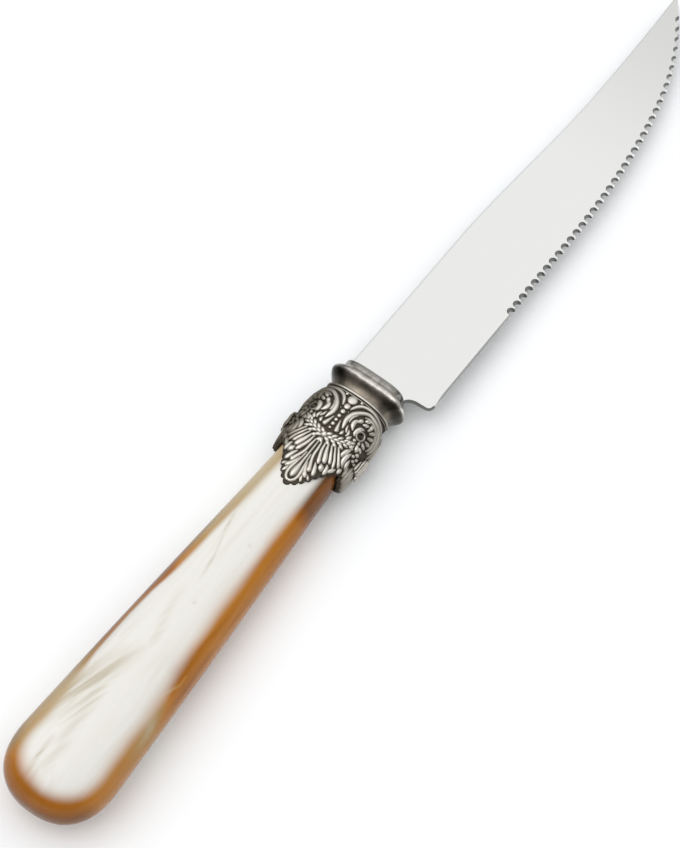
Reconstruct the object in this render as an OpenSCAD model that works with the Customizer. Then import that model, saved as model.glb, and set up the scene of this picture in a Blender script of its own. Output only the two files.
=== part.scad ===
// Steak knife with a serrated blade, a cast bolster and leaf ferrule, and a tapered pearl grip.
// The knife lies on its side. X runs along it towards the tip, Y lies in the plane of the blade
// with the cutting edge on the minus side, and Z points up from the lower side of the grip.

/* [Blade] */
// Length from the face of the bolster to the tip
blade_l = 108; // [90:1:125]
// Height of the spine above the knife's axis where the blade leaves the bolster
spine_h = 6.7; // [5.5:0.1:7]
// Amount by which the straight spine falls over the whole blade
spine_fall = 2.3; // [1:0.1:4]
// Extra drop of the spine in its curved middle stretch
spine_dip = 2.15; // [0.5:0.05:3]
// Lift of the spine over the stretch next to the tip
tip_lift = 0.55; // [0:0.05:1.5]
// Radius of the blunted tip
tip_r = 0.6; // [0.3:0.05:1]
// Depth of the cutting edge below the axis at the heel
heel_depth = 12.4; // [10:0.1:15]
// Extra depth that the edge gains between the heel and the belly
edge_fall = 0.6; // [0:0.1:1.5]
// Distance from the bolster to where the edge starts to curve up
belly_x = 50; // [40:1:60]
// Setback of the heel from the face of the bolster
heel_x = 1.3; // [0.8:0.1:2]
// Thickness of the steel sheet
blade_t = 1.8; // [1.4:0.1:2.2]
// Taper of each face from the spine to the edge, in degrees
edge_taper = 1.15; // [0.6:0.05:1.4]
// Taper of each face from the bolster to the tip, in degrees
tip_taper = 0.2; // [0:0.02:0.24]

/* [Serrations] */
// Distance from the bolster to the first notch
teeth_x = 29; // [20:0.2:40]
// Distance from one notch to the next along the knife
tooth_pitch = 2.03; // [1.8:0.01:3]
// Radius of each round notch
notch_r = 0.85; // [0.5:0.05:0.9]
// Depth of each notch below the line of the tooth tips
notch_depth = 0.95; // [0.4:0.05:1]
// Length of plain edge left between the last notch and the tip
plain_tip_l = 3.4; // [2.6:0.1:8]

/* [Tang] */
// Length of the tang behind the face of the bolster
tang_l = 62; // [40:1:75]
// Width of the tang
tang_w = 6.6; // [5:0.1:7]
// Clearance round the tang in the bolster's slot
slot_fit = 0.1; // [0.05:0.05:0.2]

/* [Bolster] */
// Length of the bolster from its face to the ferrule
bolster_l = 5.9; // [5:0.1:8]
// Width of the flat cap that the blade sits on
cap_w = 14; // [14:0.1:15]
// Thickness of the cap from side to side of the blade
cap_t = 10.6; // [8:0.1:10.6]
// Height of the cap's upright side
cap_l = 1.3; // [0.6:0.1:1.4]
// Rounding of the cap's edge
cap_round = 0.25; // [0.1:0.05:0.4]
// Width of the rim
rim_w = 17.6; // [16:0.1:18]
// Thickness of the rim
rim_t = 11.4; // [10.6:0.1:12.5]
// Distance from the cap's face to the widest line of the rim
rim_x = 2.5; // [2:0.1:3]
// Width of the waist where it meets the ferrule
waist_w = 13.6; // [13.2:0.1:14.2]
// Thickness of the waist where it meets the ferrule
waist_t = 10.2; // [9.8:0.1:10.8]
// Length of the spigot that centres the bolster in the ferrule
spigot_l = 2.1; // [1.5:0.1:3]

/* [Ferrule] */
// Length of the ferrule from the bolster to the tips of its two large leaves
ferrule_l = 24.3; // [20:0.1:28]
// Length of the ferrule between the leaves
skirt_l = 15.8; // [14.4:0.1:17]
// Length of the ferrule at the tips of its two side leaves
side_leaf_l = 17.7; // [17.2:0.1:19]
// Width of the ring at the mouth
ring_w = 14.1; // [13.8:0.1:14.6]
// Thickness of the ring at the mouth
ring_t = 10.6; // [10.4:0.1:11.2]
// Length of the ring at the mouth
ring_l = 1; // [0.6:0.1:1.4]
// Width of the shell at its fullest
shell_w = 16.6; // [16:0.1:17.6]
// Thickness of the shell at its fullest
shell_t = 12.2; // [11.8:0.1:13]
// Height of the cast ornament above the shell
relief_h = 0.42; // [0.1:0.02:0.6]
// Clearance between the ferrule and the grip that it holds
grip_fit = 0.1; // [0.05:0.05:0.15]

/* [Grip] */
// Length from the face of the bolster to the end of the grip
handle_l = 112; // [95:1:130]
// Width of the grip at the tips of the large leaves
neck_w = 14.5; // [13.8:0.1:14.8]
// Thickness of the grip at the tips of the large leaves
neck_t = 11.2; // [10.6:0.1:11.4]
// Width of the grip at its front end, inside the ferrule
core_w = 12.2; // [11.6:0.1:12.4]
// Thickness of the grip at its front end, inside the ferrule
core_t = 9; // [8.6:0.1:9.2]
// Greatest width of the grip, near its end
butt_w = 22.8; // [18:0.2:26]
// Greatest thickness of the grip, near its end
butt_t = 15.6; // [12:0.2:18]
// Outward bow of each side of the grip between neck and end
grip_bow = 0.15; // [0:0.05:0.5]
// Length of the rounding at the end of the grip
butt_round_l = 12.6; // [8:0.2:18]
// Diameter of the bore for the tang
bore_d = 7.4; // [7.4:0.1:7.8]
// Depth of the bore beyond the end of the tang
bore_spare = 2; // [1:0.5:4]

/* [Hidden] */

// Squareness of each cross section: 2 is an ellipse and more is boxier
cap_square = 3.6;
rim_square = 2.9;
grip_square = 2.25;
butt_square = 2.4;
// The rounding of the butt stops at this angle, at a small flat
butt_turn = 86;
// Steps round a section and along each stretch
round_n = 64;
ornament_n = 96;
ornament_rows = 38;
edge_steps = 60;
spine_steps = 36;
tip_steps = 4;
rim_steps = 5;
waist_steps = 5;
bow_steps = 6;
butt_steps = 9;
// One overrun serves all cuts
overrun = 1;

// Ornament, measured from the mouth of the ferrule along the axis and sideways from its middle line.
// Pearls: diameters of the first and second, then of the small ones, their spacing and number
pearl_d = 1.8;
second_pearl_d = 1.2;
small_pearl_d = 0.9;
small_pearl_pitch = 1.14;
small_pearl_n = 5;
// Scrolls: place of the eye, radius of the eye's pit, and radius, spacing and number of the bands
eye_p = 6.8;
eye_y = 5.5;
eye_r = 0.9;
scroll_r = 4.9;
scroll_step = 1.3;
scroll_n = 3;
scroll_band_w = 1;
// Garland: where it leaves the eyes, where it hangs lowest, and its width
garland_p = 8.8;
garland_low_p = 11.6;
garland_w = 1.7;
leaflet_l = 1.2;
// Large leaf: half of its width round the shell in degrees, its root and the spread of one lobe
leaf_turn = 52;
leaf_root_p = 12.6;
lobe_turn = 14;
lobe_rim = 0.3;
// Side leaf: half of its width round the shell in degrees, and where it starts
side_leaf_turn = 17;
side_leaf_p = 9;

// The bedding keeps this far off the bore and the tang, so that the faces stay apart
film = 0.02;
// Blade stretches where the spine dips and lifts, and the weight of the belly's two curves
dip_from_share = 0.333;
dip_to_share = 0.74;
lift_from_share = 0.79;
belly_share = 0.53;
// Heel outline from the bolster to the edge, as shares of the setback and of the drop
heel_shares = [[0, 0], [0.38, 0.06], [0.7, 0.17], [0.93, 0.34], [1, 0.55],
    [1.07, 0.78], [1.25, 0.89], [1.65, 0.97], [2.3, 1]];
// Fullness of the ferrule's shell along its length, as shares of the length and of the swell
swell_shares = [[0, 0], [0.05, 0.06], [0.1, 0.42], [0.16, 0.74], [0.24, 0.94], [0.33, 1],
    [0.47, 0.98], [0.6, 0.84], [0.8, 0.6], [1, 0.52]];

// Named places along the knife's axis, all behind the bolster's face at zero
ferrule_x = -bolster_l;
grip_front = -(bolster_l + spigot_l);
lip_x = -(bolster_l + ferrule_l);
butt_start = -(handle_l - butt_round_l);
bore_end = -(tang_l + bore_spare);
tip_h = spine_h - spine_fall - spine_dip + tip_lift;
belly_depth = heel_depth + edge_fall;
heel_corner_x = heel_x * heel_shares[len(heel_shares) - 1][0];
root_depth = cap_w / 2;
tooth_n = floor((blade_l - plain_tip_l - teeth_x) / tooth_pitch) + 1;

// The part's origin is under the middle of the knife, on the plane that the grip lies on
middle_x = (blade_l - handle_l) / 2;
middle_y = (butt_w / 2 - belly_depth) / 2;
axis_h = butt_t / 2;

// Smooth step from 0 to 1
function ease(u) = let (v = min(max(u, 0), 1)) v * v * (3 - 2 * v);
// Straight blend from a to b
function blend(a, b, u) = a + (b - a) * u;
// Domed profile, 1 at the middle and 0 from the rim outwards
function dome(d, r) = sqrt(max(0, 1 - (d / r) ^ 2));
// Distance from a point to the line through a and b
function off_line(p, a, b) = abs(cross(b - a, p - a)) / norm(b - a);
function power(v, n) = sign(v) * pow(abs(v), 2 / n);

// Height of the spine and of the edge at a place along the blade
function spine_y(x) = spine_h - spine_fall * x / blade_l
    - spine_dip * ease((x / blade_l - dip_from_share) / (dip_to_share - dip_from_share))
    + tip_lift * max(0, (x / blade_l - lift_from_share) / (1 - lift_from_share)) ^ 2;
function edge_y(x) = x < belly_x
    ? -(heel_depth + edge_fall * x / belly_x)
    : let (u = (x - belly_x) / (blade_l - belly_x))
        -belly_depth + (belly_depth + tip_h - tip_r) * blend(u ^ 5, u ^ 2, belly_share);

// Points of one cross section at x, counted from the upper middle towards the spine side
function section(x, w, t, n, count = round_n) = [for (i = [0:count - 1])
    let (a = 360 * i / count) [x, w / 2 * power(sin(a), n), t / 2 * power(cos(a), n)]];

// Width and thickness of the grip's body at a place along the axis
function grip_share(x) = (lip_x - x) / (lip_x - butt_start);
function grip_bow_at(x) = 2 * grip_bow * sin(180 * grip_share(x));
function core_share(x) = (x - lip_x) / (grip_front - lip_x);
function grip_w(x) = x > lip_x
    ? blend(neck_w, core_w, core_share(x)) : blend(neck_w, butt_w, grip_share(x)) + grip_bow_at(x);
function grip_t(x) = x > lip_x
    ? blend(neck_t, core_t, core_share(x)) : blend(neck_t, butt_t, grip_share(x)) + grip_bow_at(x);

// Closed solid through a list of rings, each with the same number of points
module loft(rings) {
    count = len(rings[0]);
    last = len(rings) - 1;
    points = [for (ring = rings) each ring];
    sides = [for (r = [0:last - 1], i = [0:count - 1])
        let (j = (i + 1) % count, a = r * count, b = a + count)
            each [[a + i, a + j, b + j], [a + i, b + j, b + i]]];
    front = [for (i = [count - 1:-1:0]) i];
    back = [for (i = [0:count - 1]) last * count + i];
    polyhedron(points, concat([front], sides, [back]));
}

// Moves a piece from the knife's axis to the part's frame
module placed() {
    translate([-middle_x, -middle_y, axis_h]) children();
}

// Sheet outline: tang, heel, edge, blunted tip and spine
function blade_outline() = concat(
    [[-tang_l, tang_w / 2], [-tang_l, -tang_w / 2], [0, -tang_w / 2]],
    [for (s = heel_shares)
        [heel_x * s[0], -blend(root_depth, -edge_y(heel_corner_x), s[1])]],
    [for (i = [1:edge_steps])
        let (x = blend(heel_corner_x, blade_l, i / edge_steps)) [x, edge_y(x)]],
    [for (i = [1:tip_steps])
        let (a = 90 * i / tip_steps) [blade_l - tip_r * (1 - cos(a)), tip_h - tip_r * (1 - sin(a))]],
    [for (i = [spine_steps - 1:-1:0])
        let (x = (blade_l - tip_r) * i / spine_steps) [x, spine_y(x)]],
    [[0, tang_w / 2]]);

// Ground face of the blade, sloping down from the spine's root to the edge and to the tip
module face_cut() {
    translate([0, spine_h, blade_t / 2])
        rotate([edge_taper, tip_taper, 0])
            translate([0, -2 * (spine_h + belly_depth), 0])
                cube([blade_l + 2 * overrun, 3 * (spine_h + belly_depth), blade_t]);
}

// Stamped and ground blade with its flat tang
module blade() {
    placed() color("gainsboro") difference() {
        linear_extrude(blade_t, center = true) difference() {
            polygon(blade_outline());
            for (i = [0:tooth_n - 1]) {
                x = teeth_x + i * tooth_pitch;
                translate([x, edge_y(x) + notch_depth - notch_r]) circle(notch_r, $fn = 24);
            }
        }
        face_cut();
        mirror([0, 0, 1]) face_cut();
    }
}

// Rim and waist: a rounded shoulder from the cap to the rim, then a hollow down to the waist
function bolster_rings() = concat(
    [section(0, cap_w - 2 * cap_round, cap_t - 2 * cap_round, cap_square),
        section(-cap_round, cap_w, cap_t, cap_square),
        section(-cap_l, cap_w, cap_t, cap_square)],
    [for (i = [1:rim_steps])
        let (u = i / rim_steps, e = sin(90 * u))
            section(-blend(cap_l, rim_x, u), blend(cap_w, rim_w, e), blend(cap_t, rim_t, e),
                blend(cap_square, rim_square, e))],
    [for (i = [1:waist_steps])
        let (u = i / waist_steps, e = ease(u), x = blend(rim_x, bolster_l, u))
            section(-x, blend(rim_w, waist_w, e), blend(rim_t, waist_t, e),
                blend(rim_square, grip_square, e))],
    [for (x = [ferrule_x, grip_front])
        section(x, core_w - 2 * grip_fit, core_t - 2 * grip_fit, grip_square)]);

// Cast cap, rim and waist with a spigot behind, slotted for the tang
module bolster() {
    slot_w = tang_w + 2 * slot_fit;
    slot_t = blade_t + 2 * slot_fit;
    placed() color("darkgray") difference() {
        loft(bolster_rings());
        translate([grip_front - overrun, -slot_w / 2, -slot_t / 2])
            cube([overrun - grip_front + overrun, slot_w, slot_t]);
    }
}

// Length of the ferrule at a turn of a degrees from the middle of a large leaf
function folded(a) = let (b = a % 180) min(b, 180 - b);
function lip_p(a) = let (b = folded(a))
    b < leaf_turn
    ? blend(ferrule_l, skirt_l, (b / leaf_turn) ^ 1.1) - lobe_rim * abs(sin(180 * b / lobe_turn))
    : skirt_l + (side_leaf_l - skirt_l) * max(0, 1 - (90 - b) / side_leaf_turn);

// Width and thickness of the plain shell at a distance p behind the mouth
function swell(p) = lookup(p / ferrule_l, swell_shares);
function ferrule_w(p) = blend(ring_w, shell_w, swell(p));
function ferrule_t(p) = blend(ring_t, shell_t, swell(p));

// Cast relief as a share of its full height, at p behind the mouth and y off the middle line
function pearl(p, y, at, d) = dome(norm([p - at, y]), d / 2);
function pearls(p, y) = let (
        first = ring_l + pearl_d / 2,
        second = first + pearl_d / 2 + second_pearl_d / 2,
        third = second + second_pearl_d / 2 + small_pearl_pitch / 2)
    max(pearl(p, y, first, pearl_d), pearl(p, y, second, second_pearl_d),
        max([for (i = [0:small_pearl_n - 1])
            pearl(p, y, third + i * small_pearl_pitch, small_pearl_d)]));
function scrolls(p, y) = let (d = norm([p - eye_p, y - eye_y]))
    d < eye_r ? -dome(d, eye_r)
    : max([for (i = [0:scroll_n - 1]) dome(d - (scroll_r - i * scroll_step), scroll_band_w / 2)]);
function garland(p, y) = let (
        d = off_line([p, y], [garland_low_p, 0], [garland_p, eye_y]),
        leaflet = abs(sin(180 * (y + d) / leaflet_l)))
    dome(d, garland_w / 2) * blend(1, leaflet, 0.5);
function lobes(p, y) = let (turn = atan2(y, p - leaf_root_p))
    blend(0.2, 1, abs(cos(180 * turn / lobe_turn)));
function side_leaf(p, z) = p < side_leaf_p ? 0
    : dome(z, shell_t / 2 * sin(side_leaf_turn) * 2 * (1 - (p - side_leaf_p) / ferrule_l));
function relief(p, y, z) = let (hang = blend(garland_low_p, garland_p, min(y / eye_y, 1)))
    p < ring_l ? dome(p - ring_l / 2, ring_l / 2)
    : max(p < hang ? max(pearls(p, y), y > scroll_band_w ? scrolls(p, y) : 0) : lobes(p, y) / 2,
        garland(p, y), side_leaf(p, z));

// One ring of the shell, from the mouth (s = 0) to the lip (s = 1), outside or inside
function outer_point(a, s) = let (
        p = s * lip_p(a), w = ferrule_w(p), t = ferrule_t(p),
        y = w / 2 * power(sin(a), grip_square), z = t / 2 * power(cos(a), grip_square),
        h = relief(p, abs(y), abs(z)) * relief_h, r = norm([y / w, z / t]))
    [ferrule_x - p, y * (1 + h / w / r), z * (1 + h / t / r)];
function inner_point(a, s) = let (
        x = ferrule_x - s * lip_p(a), fit = 2 * grip_fit)
    [x, (grip_w(x) + fit) / 2 * power(sin(a), grip_square),
        (grip_t(x) + fit) / 2 * power(cos(a), grip_square)];

// Cast ferrule: a thin shell with a ring, pearls, scrolls and a garland, and leaves at its lip
module ferrule() {
    turns = [for (i = [0:ornament_n - 1]) 360 * i / ornament_n];
    outside = [for (r = [0:ornament_rows]) [for (a = turns) outer_point(a, r / ornament_rows)]];
    inside = [for (s = [1, 0.5, 0]) [for (a = turns) inner_point(a, s)]];
    rings = concat(outside, inside);
    faces = [for (r = [0:len(rings) - 1], i = [0:ornament_n - 1])
        let (a = r * ornament_n, b = (r + 1) % len(rings) * ornament_n, j = (i + 1) % ornament_n)
            each [[a + i, a + j, b + j], [a + i, b + j, b + i]]];
    placed() color("silver") polyhedron([for (ring = rings) each ring], faces);
}

// Rings of the grip from its front end to its rounded butt
function handle_rings() = concat(
    [section(grip_front, core_w, core_t, grip_square)],
    [for (i = [0:bow_steps])
        let (x = blend(lip_x, butt_start, i / bow_steps))
            section(x, grip_w(x), grip_t(x), grip_square)],
    [for (i = [1:butt_steps])
        let (a = butt_turn * i / butt_steps, k = power(cos(a), butt_square),
            x = blend(butt_start, -handle_l, power(sin(a) / sin(butt_turn), butt_square)))
            section(x, butt_w * k, butt_t * k, grip_square)]);

// Solid moulded grip with a blind bore for the tang
module handle() {
    placed() color("linen") difference() {
        loft(handle_rings());
        translate([bore_end, 0, 0])
            rotate([0, 90, 0]) cylinder(h = grip_front - bore_end + overrun, d = bore_d, $fn = 96);
    }
}

// Cured bedding that fills the bore round the tang
module bedding() {
    slot_w = tang_w + 2 * film;
    slot_t = blade_t + 2 * film;
    placed() color("khaki") difference() {
        translate([bore_end + film, 0, 0])
            rotate([0, 90, 0]) cylinder(h = grip_front - bore_end - film, d = bore_d - 2 * film, $fn = 96);
        translate([-tang_l - film, -slot_w / 2, -slot_t / 2])
            cube([tang_l + film + overrun, slot_w, slot_t]);
    }
}

blade();
bolster();
ferrule();
handle();
bedding();
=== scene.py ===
# A serrated steak knife with a cast bolster, a leaf ferrule and a pearl and amber grip,
# lying on its side on a pale floor. Sizes are in millimetres from the knife's own axis:
# x is 0 at the bolster's face and grows to the tip, y grows to the spine, z grows upwards.
import math

import bmesh
import bpy
import numpy as np
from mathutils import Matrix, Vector


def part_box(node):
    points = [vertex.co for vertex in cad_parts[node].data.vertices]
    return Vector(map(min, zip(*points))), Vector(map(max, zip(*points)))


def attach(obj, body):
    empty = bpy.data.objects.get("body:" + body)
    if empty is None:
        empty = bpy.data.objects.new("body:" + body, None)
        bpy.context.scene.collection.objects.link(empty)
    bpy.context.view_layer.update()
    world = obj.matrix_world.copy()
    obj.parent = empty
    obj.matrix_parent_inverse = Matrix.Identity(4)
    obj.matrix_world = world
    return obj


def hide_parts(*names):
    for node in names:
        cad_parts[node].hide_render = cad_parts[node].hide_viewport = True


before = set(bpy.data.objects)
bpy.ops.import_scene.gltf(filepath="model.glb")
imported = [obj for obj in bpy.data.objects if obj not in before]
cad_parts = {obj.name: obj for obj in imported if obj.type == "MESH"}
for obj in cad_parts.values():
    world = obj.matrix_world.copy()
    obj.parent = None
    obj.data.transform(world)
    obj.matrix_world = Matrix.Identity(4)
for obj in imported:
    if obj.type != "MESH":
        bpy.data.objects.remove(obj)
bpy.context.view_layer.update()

# Blade: one stamped and ground sheet of stainless steel, mirror polished. Its tang runs back
# through the bolster into the grip, and notches are ground into the outer part of its edge.
MM = 0.001
face_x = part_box("bolster")[1].x / MM
axis_y = sum(c.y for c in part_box("handle")) / 2 / MM
axis_z = sum(c.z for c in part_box("handle")) / 2 / MM
knife_origin = np.array([face_x, axis_y, axis_z])
blade_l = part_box("blade")[1].x / MM - face_x
tang_l = face_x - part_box("blade")[0].x / MM
tang_w = 6.6
spine_h = 6.7
spine_fall = 2.3
spine_dip = 2.15
dip_from, dip_to = 0.333 * blade_l, 0.74 * blade_l
tip_lift = 0.55
lift_from = 0.79 * blade_l
tip_r = 0.6
heel_depth = 12.4
belly_depth = 13.0
belly_x, belly_share = 50.0, 0.53
root_depth = 7.0
heel_x = 1.3
heel_shares = [(0, 0), (0.38, 0.06), (0.7, 0.17), (0.93, 0.34), (1, 0.55),
               (1.07, 0.78), (1.25, 0.89), (1.65, 0.97), (2.3, 1)]
half_t = 0.9
edge_slope = math.tan(math.radians(1.15))
tip_slope = math.tan(math.radians(0.2))
spine_round, most_round = 0.5, 0.65
edge_bevel, edge_half_t, edge_fillet = 0.4, 0.12, 0.1
hone_start_l, hone_end_l = 3, 6
plain_tip_l = 3.4
tip_h = spine_h - spine_fall - spine_dip + tip_lift
spine_n, tip_n, edge_n, heel_steps = 90, 6, 150, 5


def ease(u):
    u = np.clip(u, 0, 1)
    return u * u * (3 - 2 * u)


def spine_y(x):
    dip = ease((x - dip_from) / (dip_to - dip_from))
    lift = max(0.0, (x - lift_from) / (blade_l - lift_from)) ** 2
    return spine_h - spine_fall * x / blade_l - spine_dip * dip + tip_lift * lift


def edge_y(x):
    if x < belly_x:
        return -(heel_depth + (belly_depth - heel_depth) * x / belly_x)
    u = (x - belly_x) / (blade_l - belly_x)
    rise = u ** 5 + (u ** 2 - u ** 5) * belly_share
    return -belly_depth + (belly_depth + tip_h - tip_r) * rise


def face_z(x, y):
    return half_t - tip_slope * max(x, 0.0) - edge_slope * (spine_h - y)


def smooth_line(points, steps):
    """A smooth line through given points, with this many steps between two of them."""
    p = np.asarray(points, float)
    p = np.vstack([2 * p[0] - p[1], p, 2 * p[-1] - p[-2]])
    line = []
    for a, b, c, d in zip(p, p[1:], p[2:], p[3:]):
        for u in np.arange(steps) / steps:
            line.append(0.5 * (2 * b + (c - a) * u + (2 * a - 5 * b + 4 * c - d) * u ** 2
                               + (3 * b - 3 * c + d - a) * u ** 3))
    return line + [p[-2]]


def scene_object(name, data):
    """An object of the scene with this mesh, lamp or camera."""
    made = bpy.data.objects.new(name, data)
    bpy.context.scene.collection.objects.link(made)
    return made


def mesh_piece(name, points, faces, smooth=True, edges=()):
    """A piece from points in millimetres on the knife's own axes, faces outwards."""
    mesh = bpy.data.meshes.new(name)
    mesh.from_pydata(((np.asarray(points, float) + knife_origin) * MM).tolist(), list(edges), faces)
    mesh.polygons.foreach_set("use_smooth", [smooth] * len(mesh.polygons))
    mesh.update()
    return scene_object(name, mesh)


def blade_outline():
    """Round the sheet in front of the bolster, from the spine at the root back to it. A point is
    (x, y, distance in to the border of the flat face, half thickness of the wall)."""
    def rounded(x, y):
        r = min(spine_round, most_round * face_z(x, y))
        return x, y, r, face_z(x, y) - r

    points = [rounded(x, spine_y(x)) for x in np.linspace(0, blade_l - tip_r, spine_n)]
    for turn in np.linspace(0, math.pi / 2, tip_n + 1)[1:]:
        points.append(rounded(blade_l - tip_r * (1 - math.sin(turn)), tip_h - tip_r * (1 - math.cos(turn))))
    heel_corner = heel_x * heel_shares[-1][0]
    for x in np.linspace(blade_l, heel_corner, edge_n)[1:]:
        y = edge_y(x)
        honed = ease((x - heel_corner) / hone_start_l) * ease((blade_l - plain_tip_l - x) / hone_end_l)
        wall = face_z(x, y) - edge_fillet
        points.append((x, y, edge_fillet + (edge_bevel - edge_fillet) * honed,
                       wall + (edge_half_t - wall) * honed))
    heel_bottom = edge_y(heel_corner)
    for across, drop in reversed(smooth_line(heel_shares, heel_steps)[:-1]):
        points.append(rounded(heel_x * across, -root_depth + (heel_bottom + root_depth) * drop))
    return np.array(points, float)


def blade_blank():
    """The sheet before the notches: two flat ground faces, rounded edges and the tang."""
    outline = blade_outline()
    count = len(outline)
    xy, inset, wall = outline[:, :2], outline[:, 2:3], outline[:, 3]
    along = np.roll(xy, -1, 0) - np.roll(xy, 1, 0)
    along[0] = xy[1] - xy[0]
    along[-1] = xy[-1] - xy[-2]
    along /= np.linalg.norm(along, axis=1)[:, None]
    inner = xy + np.stack([along[:, 1], -along[:, 0]], 1) * inset
    inner[0, 0] = inner[-1, 0] = 0
    top = np.array([[x, y, face_z(x, y)] for x, y in inner])
    upper_wall = np.column_stack([xy, wall])
    tang = [(x, s * tang_w / 2) for x, s in ((0, 1), (-tang_l, 1), (-tang_l, -1), (0, -1))]
    tang_top = np.array([[x, y, face_z(0, y)] for x, y in tang])
    flip = np.array([1, 1, -1])
    points = np.vstack([top, upper_wall, upper_wall * flip, top * flip, tang_top, tang_top * flip])

    # A face's finish is the place of its steel in the blade's list of materials. The ground steel is partly
    # painted shade and the honed steel partly a painted glint
    polished, ground, honed = range(3)
    spine_faces = spine_n + tip_n
    edge_faces = count - heel_steps * (len(heel_shares) - 1) - 1
    faces, finish = [], []
    for row in range(3):
        for i in range(count - 1):
            a = row * count + i
            faces.append([a, a + count, a + count + 1, a + 1])
            if i < spine_faces:
                finish.append(ground if row == 1 else polished)
            else:
                finish.append(honed if i < edge_faces else ground)
    up = [4 * count + i for i in range(4)]
    low = [4 * count + 4 + i for i in range(4)]
    faces.append(list(range(count))[::-1] + [up[0], up[3]])
    faces.append([3 * count + i for i in range(count)] + [low[3], low[0]])
    faces += [up, low[::-1]]
    faces += [[up[i], low[i], low[i + 1], up[i + 1]] for i in range(3)]
    faces.append([r * count for r in range(4)] + [low[0], up[0]])
    faces.append([r * count + count - 1 for r in range(4)][::-1] + [up[3], low[3]])
    blank = mesh_piece("blade_sheet", points, faces, smooth=False)
    finish += [polished] * (len(faces) - len(finish))
    blank.data.polygons.foreach_set("material_index", finish)
    turned = bmesh.new()
    turned.from_mesh(blank.data)
    bmesh.ops.recalc_face_normals(turned, faces=turned.faces)
    turned.to_mesh(blank.data)
    turned.free()
    return blank


def set_inputs(tree, node, values):
    """Links or sets these inputs of a node, which are given by name or by number."""
    for label, value in values.items():
        socket = node.inputs[label.replace("_", " ") if isinstance(label, str) else label]
        if isinstance(value, bpy.types.NodeSocket):
            tree.links.new(value, socket)
        else:
            socket.default_value = value


def add_node(tree, kind, *first_inputs, **settings):
    """A node with these sockets or values on its first inputs. A setting is one of its
    properties, or else an input by name."""
    made = tree.nodes.new(kind)
    inputs = dict(enumerate(first_inputs))
    for label, value in settings.items():
        if hasattr(made, label):
            setattr(made, label, value)
        else:
            inputs[label] = value
    set_inputs(tree, made, inputs)
    return made


def finish_with(tree, **inputs):
    """Links or sets these inputs of the material's shader."""
    set_inputs(tree, tree.nodes["Principled BSDF"], inputs)


def material_with(name, **inputs):
    """A material and its node tree, with these values on the shader's own sockets."""
    material = bpy.data.materials.new(name)
    material.use_nodes = True
    finish_with(material.node_tree, **inputs)
    return material, material.node_tree


def noise_on(tree, way=None, **settings):
    """Noise on the piece's own coordinates, which are stretched or turned where a way is given."""
    place = add_node(tree, "ShaderNodeTexCoord").outputs["Object"]
    if way:
        place = add_node(tree, "ShaderNodeMapping", place, **way).outputs[0]
    return add_node(tree, "ShaderNodeTexNoise", place, **settings).outputs[0]


def own_place(tree, axis):
    """The piece's own coordinate on this axis."""
    place = add_node(tree, "ShaderNodeTexCoord").outputs["Object"]
    return add_node(tree, "ShaderNodeSeparateXYZ", place).outputs[axis]


def mapped(tree, value, source, target, soft=False):
    """The value carried over from the source range to the target range."""
    curve = "SMOOTHSTEP" if soft else "LINEAR"
    return add_node(tree, "ShaderNodeMapRange", value, *source, *target, interpolation_type=curve).outputs[0]


def stops(tree, value, colours):
    """The colour at this value on a ramp of stops: (place, colour)."""
    ramp = add_node(tree, "ShaderNodeValToRGB", value)
    for place, _ in colours[1:-1]:
        ramp.color_ramp.elements.new(place)
    for stop, (place, colour) in zip(ramp.color_ramp.elements, colours):
        stop.position, stop.color = place, (*colour, 1)
    return ramp.outputs[0]


def bumped(tree, height, strength, depth):
    """A surface that this height roughens."""
    return add_node(tree, "ShaderNodeBump", Height=height, Strength=strength, Distance=depth).outputs[0]


def scratched_steel(name, grey, roughness, strokes, strength, depth):
    """Bare steel with the fine scratches of a wheel or a stone."""
    steel, tree = material_with(name, Base_Color=(*grey, 1), Metallic=1.0, Roughness=roughness)
    grit = noise_on(tree, {"Scale": strokes}, Scale=1.0, Detail=2.0)
    finish_with(tree, Normal=bumped(tree, grit, strength, depth))
    return steel


blade = blade_blank()
polished_steel, polish = material_with("polished_steel", Metallic=1.0, Roughness=0.1)
hairlines = noise_on(polish, {"Scale": (60, 2500, 2500)}, Scale=1.0, Detail=4.0)
# Painted reflection: the steel's colour darkens towards the tip, where the sheet mirrors a dimmer part of the
# room
dim_from = 60
to_tip = mapped(polish, own_place(polish, "X"), ((face_x + dim_from) * MM, (face_x + blade_l) * MM), (0, 1),
                soft=True)
finish_with(polish, Roughness=mapped(polish, hairlines, (0, 1), (0.07, 0.15)),
            Normal=bumped(polish, hairlines, 0.03, 0.00002),
            Base_Color=stops(polish, to_tip, [(0, (0.66, 0.665, 0.65)), (1, (0.545, 0.55, 0.535))]))
# The ground steel's dark grey is partly its coarse finish and partly painted shade for the dark walls of the
# notches and the heel. The honed steel is paler than the polished steel as a painted glint along the honed
# bevel
ground_steel_with_painted_shade = scratched_steel("ground_steel_with_painted_shade", (0.25, 0.25, 0.238), 0.42, (9000, 9000, 900), 0.2, 0.00002)
honed_steel_with_painted_glint = scratched_steel("honed_steel_with_painted_glint", (0.76, 0.76, 0.75), 0.16, (4000, 900, 900), 0.06, 0.00001)
for steel in (polished_steel, ground_steel_with_painted_shade, honed_steel_with_painted_glint):
    blade.data.materials.append(steel)


def round_turns(n):
    """The turns of n points that are spread evenly round a circle."""
    return np.linspace(0, 2 * math.pi, n + 1)[:-1]


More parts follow.
